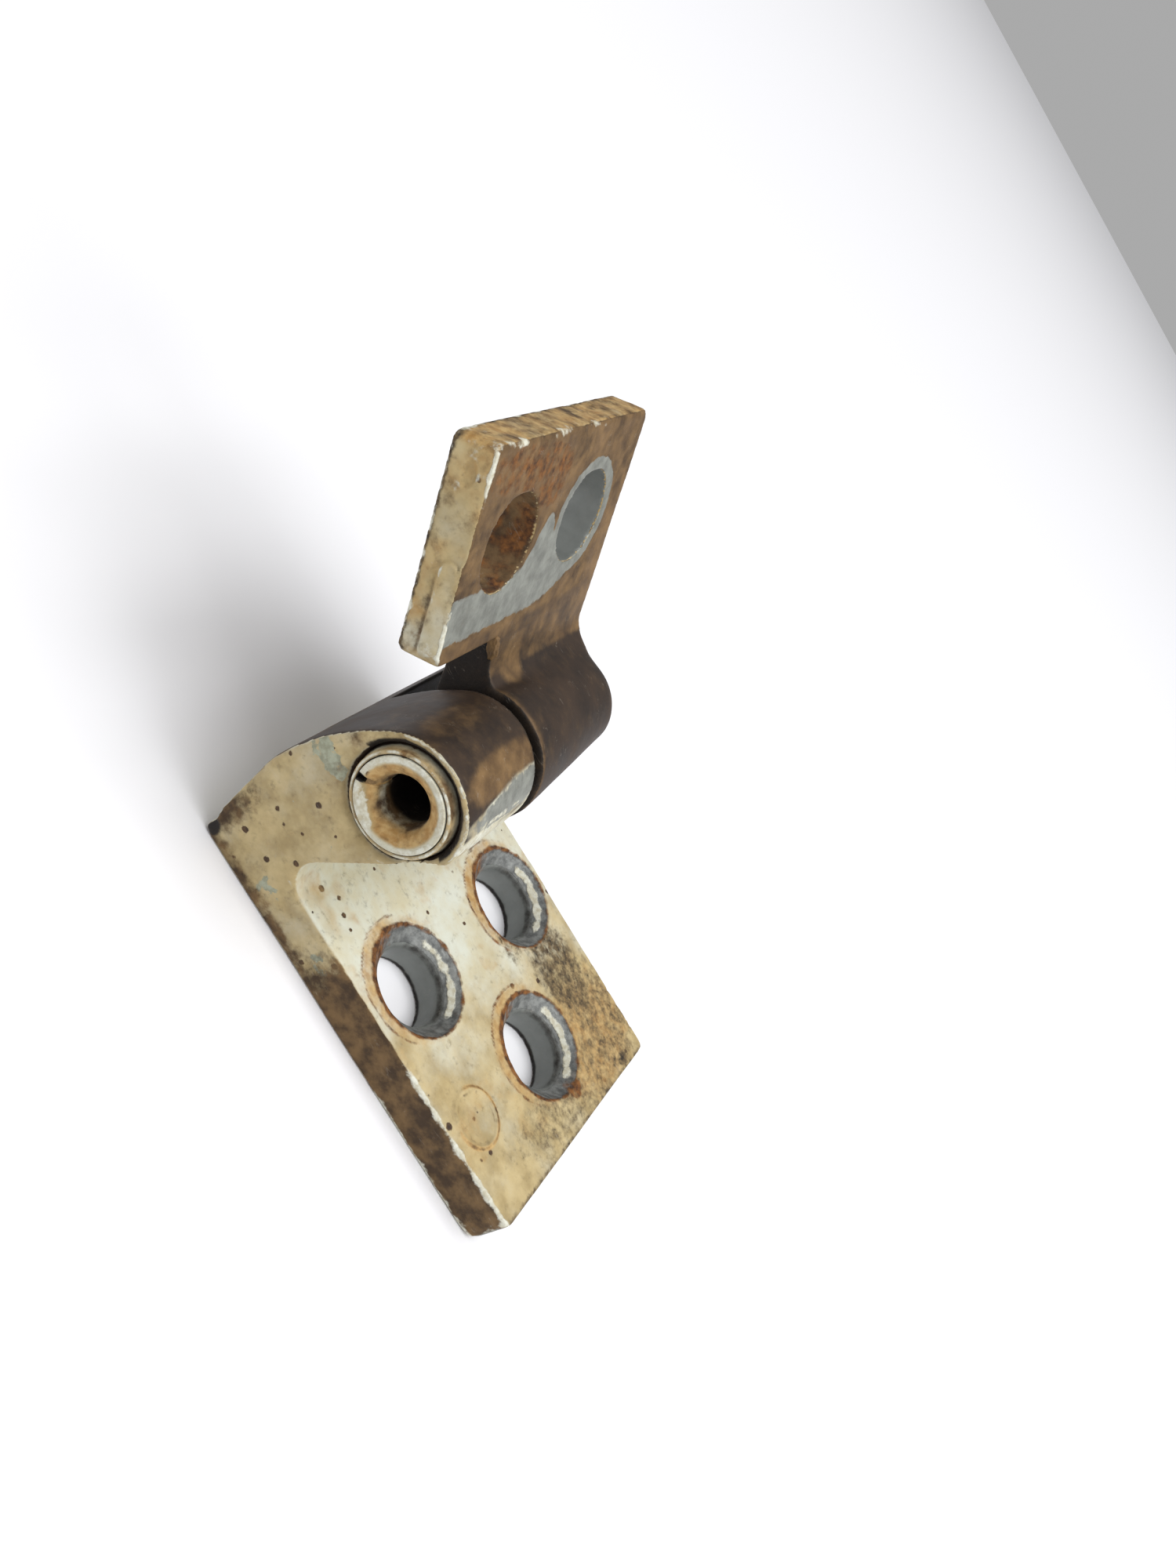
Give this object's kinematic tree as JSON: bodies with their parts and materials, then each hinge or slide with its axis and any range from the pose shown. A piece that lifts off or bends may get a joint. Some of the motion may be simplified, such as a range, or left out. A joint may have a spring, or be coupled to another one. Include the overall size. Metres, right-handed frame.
{
  "type": "door hinge",
  "caption": "Heavy two-leaf door hinge: thick body leaf with three countersunk holes, short door leaf with two bolt holes, slotted spring pin in a flanged bush.",
  "frame": {"origin": "on the body leaf's mounting face, straight under the hinge axis, half-way along the hinge", "axes": "+X down the body leaf away from the knuckles, +Y along the hinge axis away from the body leaf's knuckle, +Z out of the body leaf's mounting face towards the hinge axis"},
  "size_m": [0.0901, 0.0512, 0.0648],
  "materials": {
    "painted_leaf": "old cream paint with rust stains and bare steel at the countersinks",
    "rusted_leaf": "greasy brown rusted steel, bare round the bolt holes, cream paint on the edges",
    "pin_steel": "steel with old cream paint on the end",
    "bush_bronze": "dull bronze under paint and grease"
  },
  "bodies": {
    "body": {"body_leaf": "painted_leaf", "knuckle_bush": "bush_bronze"},
    "door": {"door_leaf": "rusted_leaf", "hinge_pin": "pin_steel"}
  },
  "joints": [
    {"name": "hinge_swing", "type": "hinge", "parent": "body", "child": "door", "pos_m": [0, 0, 0.0301], "axis": [0, 1, 0], "range_deg": [-40, 158]}
  ]
}
